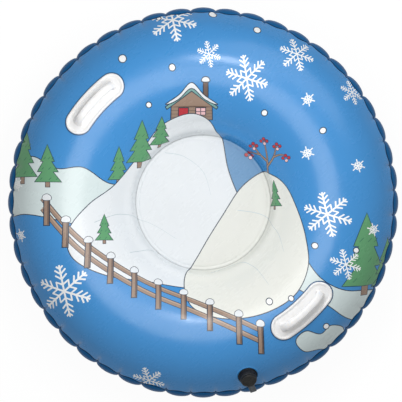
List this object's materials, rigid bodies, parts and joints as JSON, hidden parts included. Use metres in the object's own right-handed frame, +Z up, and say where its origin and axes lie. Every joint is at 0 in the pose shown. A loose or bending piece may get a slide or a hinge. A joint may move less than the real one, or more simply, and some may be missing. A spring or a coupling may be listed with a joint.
{
  "type": "inflatable snow tube",
  "caption": "Round inflatable snow sled: a lobed air ring round a flat film seat, with two grab handles and a screw-in valve with a strap-hinged cap.",
  "frame": {"origin": "centre of the ring on the ground plane, at the bottom centre of the bounding box", "axes": "+Z up and square to the seat; +X towards the right grab handle, which sits 2.7 degrees from it towards -Y; the left handle faces -X"},
  "size_m": [1.02, 1.02, 0.2843],
  "materials": {
    "printed_film": "glossy printed soft film",
    "plain_film": "glossy navy soft film",
    "handle_vinyl": "satin white moulded vinyl",
    "grip_vinyl": "satin white moulded vinyl",
    "valve_vinyl": "satin black vinyl",
    "seal_rubber": "matt black rubber",
    "insert_plastic": "satin black moulded plastic",
    "flap_silicone": "translucent pale silicone",
    "tether_vinyl": "satin dark grey vinyl",
    "cap_vinyl": "satin dark grey vinyl"
  },
  "bodies": {
    "tube": {"top_sheet": "printed_film", "bottom_sheet": "plain_film", "right_handle_pad": "handle_vinyl", "right_handle_grip": "grip_vinyl", "left_handle_pad": "handle_vinyl", "left_handle_grip": "grip_vinyl", "valve_base": "valve_vinyl"},
    "seal": {"valve_seal": "seal_rubber"},
    "insert": {"valve_insert": "insert_plastic", "cap_tether": "tether_vinyl"},
    "flap": {"valve_flap": "flap_silicone"},
    "cap": {"valve_cap": "cap_vinyl"}
  },
  "joints": [
    {"name": "insert_lift", "type": "slide", "parent": "tube", "child": "seal", "axis": [0.6189, -0.366, 0.6949], "range_m": [0, 0.006]},
    {"name": "insert_unscrew", "type": "hinge", "parent": "seal", "child": "insert", "pos_m": [0.40273, -0.23818, 0.21033], "axis": [0.6189, -0.366, 0.6949], "range_deg": [0, 720]},
    {"name": "cap_flip", "type": "hinge", "parent": "insert", "child": "cap", "pos_m": [0.44239, -0.25604, 0.18848], "axis": [0.4437, 0.893, 0.0752], "range_deg": [0, 165]},
    {"name": "flap_open", "type": "slide", "parent": "insert", "child": "flap", "axis": [-0.6189, 0.366, -0.6949], "range_m": [0, 0.0025], "stiffness_N_per_m": 60, "springref_m": -0.001}
  ],
  "couplings": [
    {"joint": "insert_lift", "follows": "insert_unscrew", "m_per_rad": 0.00047746}
  ]
}
